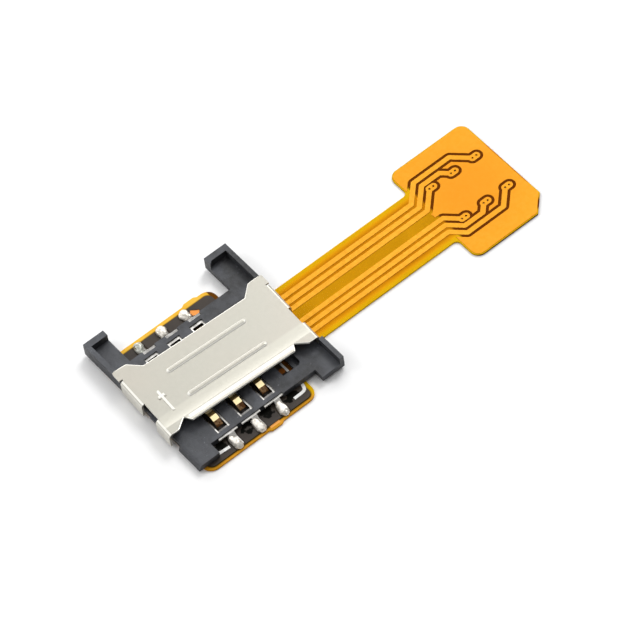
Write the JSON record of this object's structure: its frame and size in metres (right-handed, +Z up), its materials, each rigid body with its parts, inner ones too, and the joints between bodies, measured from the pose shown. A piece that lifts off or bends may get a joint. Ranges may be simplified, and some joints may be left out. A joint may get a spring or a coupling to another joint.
{
  "type": "card slot adapter on a flexible circuit",
  "caption": "Card socket with a folded metal cover, soldered to a flexible circuit whose cable leads to a card-sized contact paddle with a cut corner.",
  "frame": {"origin": "on the film's underside, under the middle of the card's contact places", "axes": "+X along the cable from the socket to the paddle, +Y the way the card goes in, +Z up"},
  "size_m": [0.0414, 0.0175, 0.0021],
  "materials": {
    "film": "amber film, smooth",
    "copper": "bright etched copper",
    "coverlay": "clear amber film, glossy",
    "solder_mask": "dark glossy mask",
    "gold": "gold plating, satin",
    "housing_plastic": "slate grey moulding, fine matt",
    "spring_gold": "plated spring sheet, bright",
    "solder": "reflowed solder",
    "cover_nickel": "satin nickel sheet"
  },
  "bodies": {
    "root": {"base_film": "film", "copper_trace_1": "copper", "copper_trace_2": "copper", "copper_trace_3": "copper", "copper_trace_4": "copper", "copper_trace_5": "copper", "copper_trace_6": "copper", "ground_pour": "copper", "coverlay": "coverlay", "solder_mask": "solder_mask", "contact_pad_1": "gold", "contact_pad_2": "gold", "contact_pad_3": "gold", "contact_pad_4": "gold", "contact_pad_5": "gold", "contact_pad_6": "gold", "housing": "housing_plastic", "contact_1": "spring_gold", "contact_2": "spring_gold", "contact_3": "spring_gold", "contact_4": "spring_gold", "contact_5": "spring_gold", "contact_6": "spring_gold", "solder_joint_1": "solder", "solder_joint_2": "solder", "solder_joint_3": "solder", "solder_joint_4": "solder", "solder_joint_5": "solder", "solder_joint_6": "solder", "cover": "cover_nickel"}
  },
  "joints": []
}
